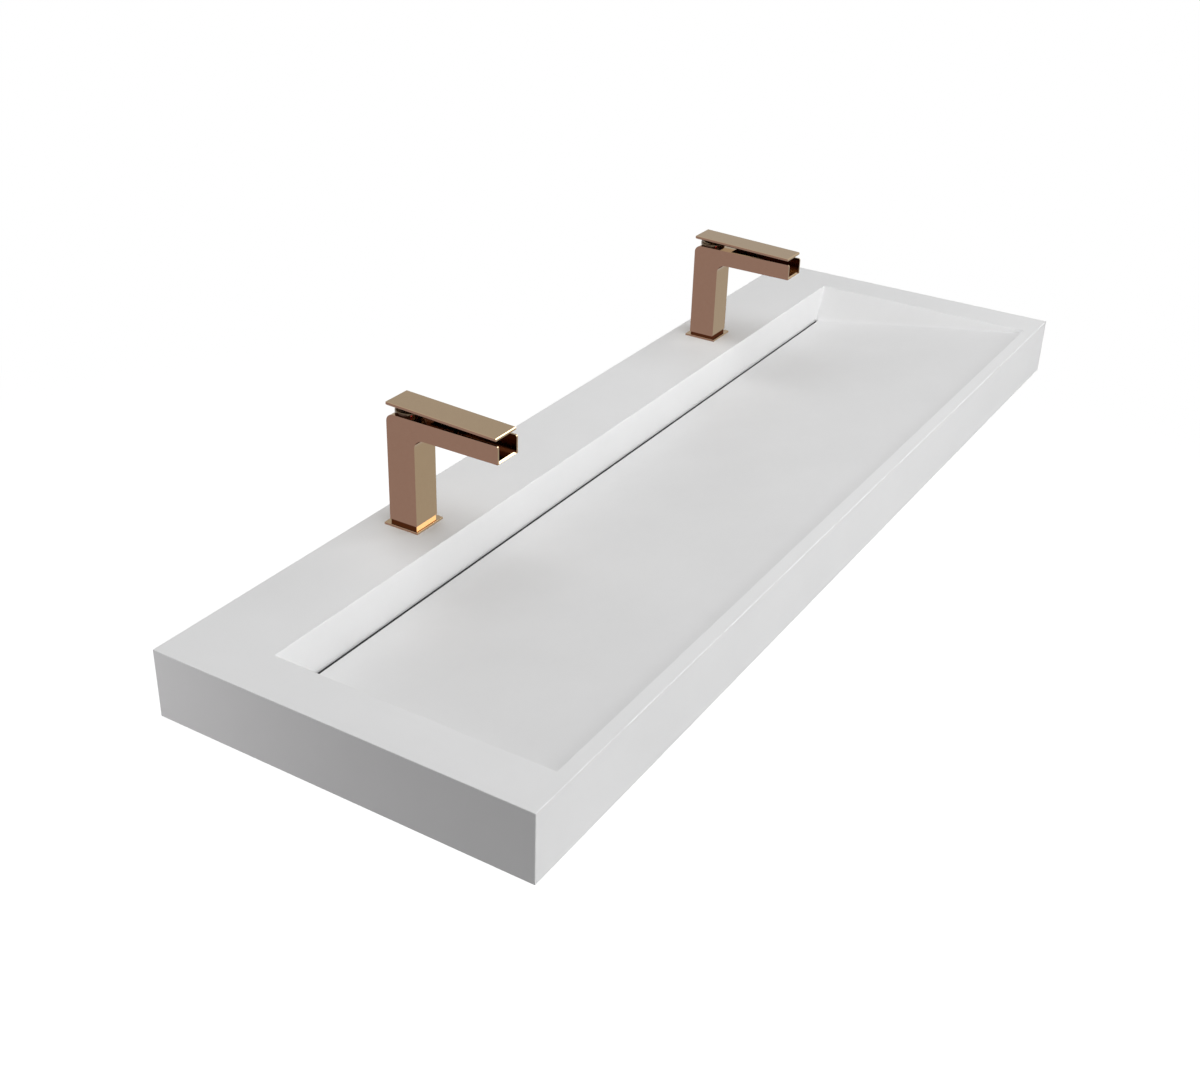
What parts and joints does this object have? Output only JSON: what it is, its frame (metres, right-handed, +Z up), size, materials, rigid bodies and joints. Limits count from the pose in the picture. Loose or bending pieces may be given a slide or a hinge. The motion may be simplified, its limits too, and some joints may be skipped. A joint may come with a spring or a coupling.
{
  "type": "washbasin",
  "caption": "Wall-hung trough washbasin with a ramped bowl, a long slot drain and two single-lever mixer taps.",
  "frame": {"origin": "centre of the line of four wall bolts, on the wall's surface", "axes": "+X along the wall to the right seen from the front, +Y into the wall, +Z up"},
  "size_m": [1.5, 0.48, 0.3204],
  "materials": {
    "solid_surface": "matte",
    "rib_sheet": "matte",
    "rose_gold": "polished",
    "plain_brass": "satin",
    "zinc_steel": "satin",
    "black_rubber": "matte",
    "cartridge_plastic": "satin",
    "disc_ceramic": "satin"
  },
  "bodies": {
    "basin": {"tap_deck": "solid_surface", "left_rim": "solid_surface", "right_rim": "solid_surface", "back_skirt": "solid_surface", "front_skirt": "solid_surface", "left_skirt": "solid_surface", "right_skirt": "solid_surface", "bowl_back": "solid_surface", "bowl_ramp": "solid_surface", "left_bowl_end": "solid_surface", "right_bowl_end": "solid_surface", "support_ribs": "rib_sheet", "drain_channel": "solid_surface", "wall_rail": "zinc_steel", "rail_screws": "zinc_steel", "waste_body": "plain_brass", "waste_seal": "black_rubber", "waste_washer": "black_rubber", "waste_nut": "plain_brass", "left_tap_body": "rose_gold", "left_base_plate": "rose_gold", "left_base_gasket": "black_rubber", "left_dome_collar": "rose_gold", "left_cartridge_seal": "black_rubber", "left_cartridge_housing": "cartridge_plastic", "left_fixed_disc": "disc_ceramic", "left_lock_ring": "plain_brass", "left_fixing_stud": "zinc_steel", "left_rubber_washer": "black_rubber", "left_horseshoe_washer": "zinc_steel", "left_fixing_nut": "plain_brass", "right_tap_body": "rose_gold", "right_base_plate": "rose_gold", "right_base_gasket": "black_rubber", "right_dome_collar": "rose_gold", "right_cartridge_seal": "black_rubber", "right_cartridge_housing": "cartridge_plastic", "right_fixed_disc": "disc_ceramic", "right_lock_ring": "plain_brass", "right_fixing_stud": "zinc_steel", "right_rubber_washer": "black_rubber", "right_horseshoe_washer": "zinc_steel", "right_fixing_nut": "plain_brass"},
    "left_turret_body": {"left_turret": "cartridge_plastic", "left_pivot_pin": "zinc_steel"},
    "left_lever_body": {"left_spindle": "zinc_steel", "left_lever": "rose_gold", "left_grub_screw": "zinc_steel"},
    "left_disc_body": {"left_moving_disc": "disc_ceramic", "left_disc_carrier": "cartridge_plastic"},
    "right_turret_body": {"right_turret": "cartridge_plastic", "right_pivot_pin": "zinc_steel"},
    "right_lever_body": {"right_spindle": "zinc_steel", "right_lever": "rose_gold", "right_grub_screw": "zinc_steel"},
    "right_disc_body": {"right_moving_disc": "disc_ceramic", "right_disc_carrier": "cartridge_plastic"}
  },
  "joints": [
    {"name": "left_mix", "type": "hinge", "parent": "basin", "child": "left_turret_body", "pos_m": [-0.375, -0.0525, 0.182], "axis": [0, 0, 1], "range_deg": [-45, 45]},
    {"name": "left_flow", "type": "hinge", "parent": "left_turret_body", "child": "left_lever_body", "pos_m": [-0.375, -0.0525, 0.182], "axis": [-1, 0, 0], "range_deg": [0, 20]},
    {"name": "left_disc_slide", "type": "slide", "parent": "left_turret_body", "child": "left_disc_body", "axis": [0, -1, 0], "range_m": [0, 0.0043]},
    {"name": "right_mix", "type": "hinge", "parent": "basin", "child": "right_turret_body", "pos_m": [0.375, -0.0525, 0.182], "axis": [0, 0, 1], "range_deg": [-45, 45]},
    {"name": "right_flow", "type": "hinge", "parent": "right_turret_body", "child": "right_lever_body", "pos_m": [0.375, -0.0525, 0.182], "axis": [-1, 0, 0], "range_deg": [0, 20]},
    {"name": "right_disc_slide", "type": "slide", "parent": "right_turret_body", "child": "right_disc_body", "axis": [0, -1, 0], "range_m": [0, 0.0043]}
  ],
  "couplings": [
    {"joint": "left_disc_slide", "follows": "left_flow", "m_per_rad": 0.0119},
    {"joint": "right_disc_slide", "follows": "right_flow", "m_per_rad": 0.0119}
  ]
}
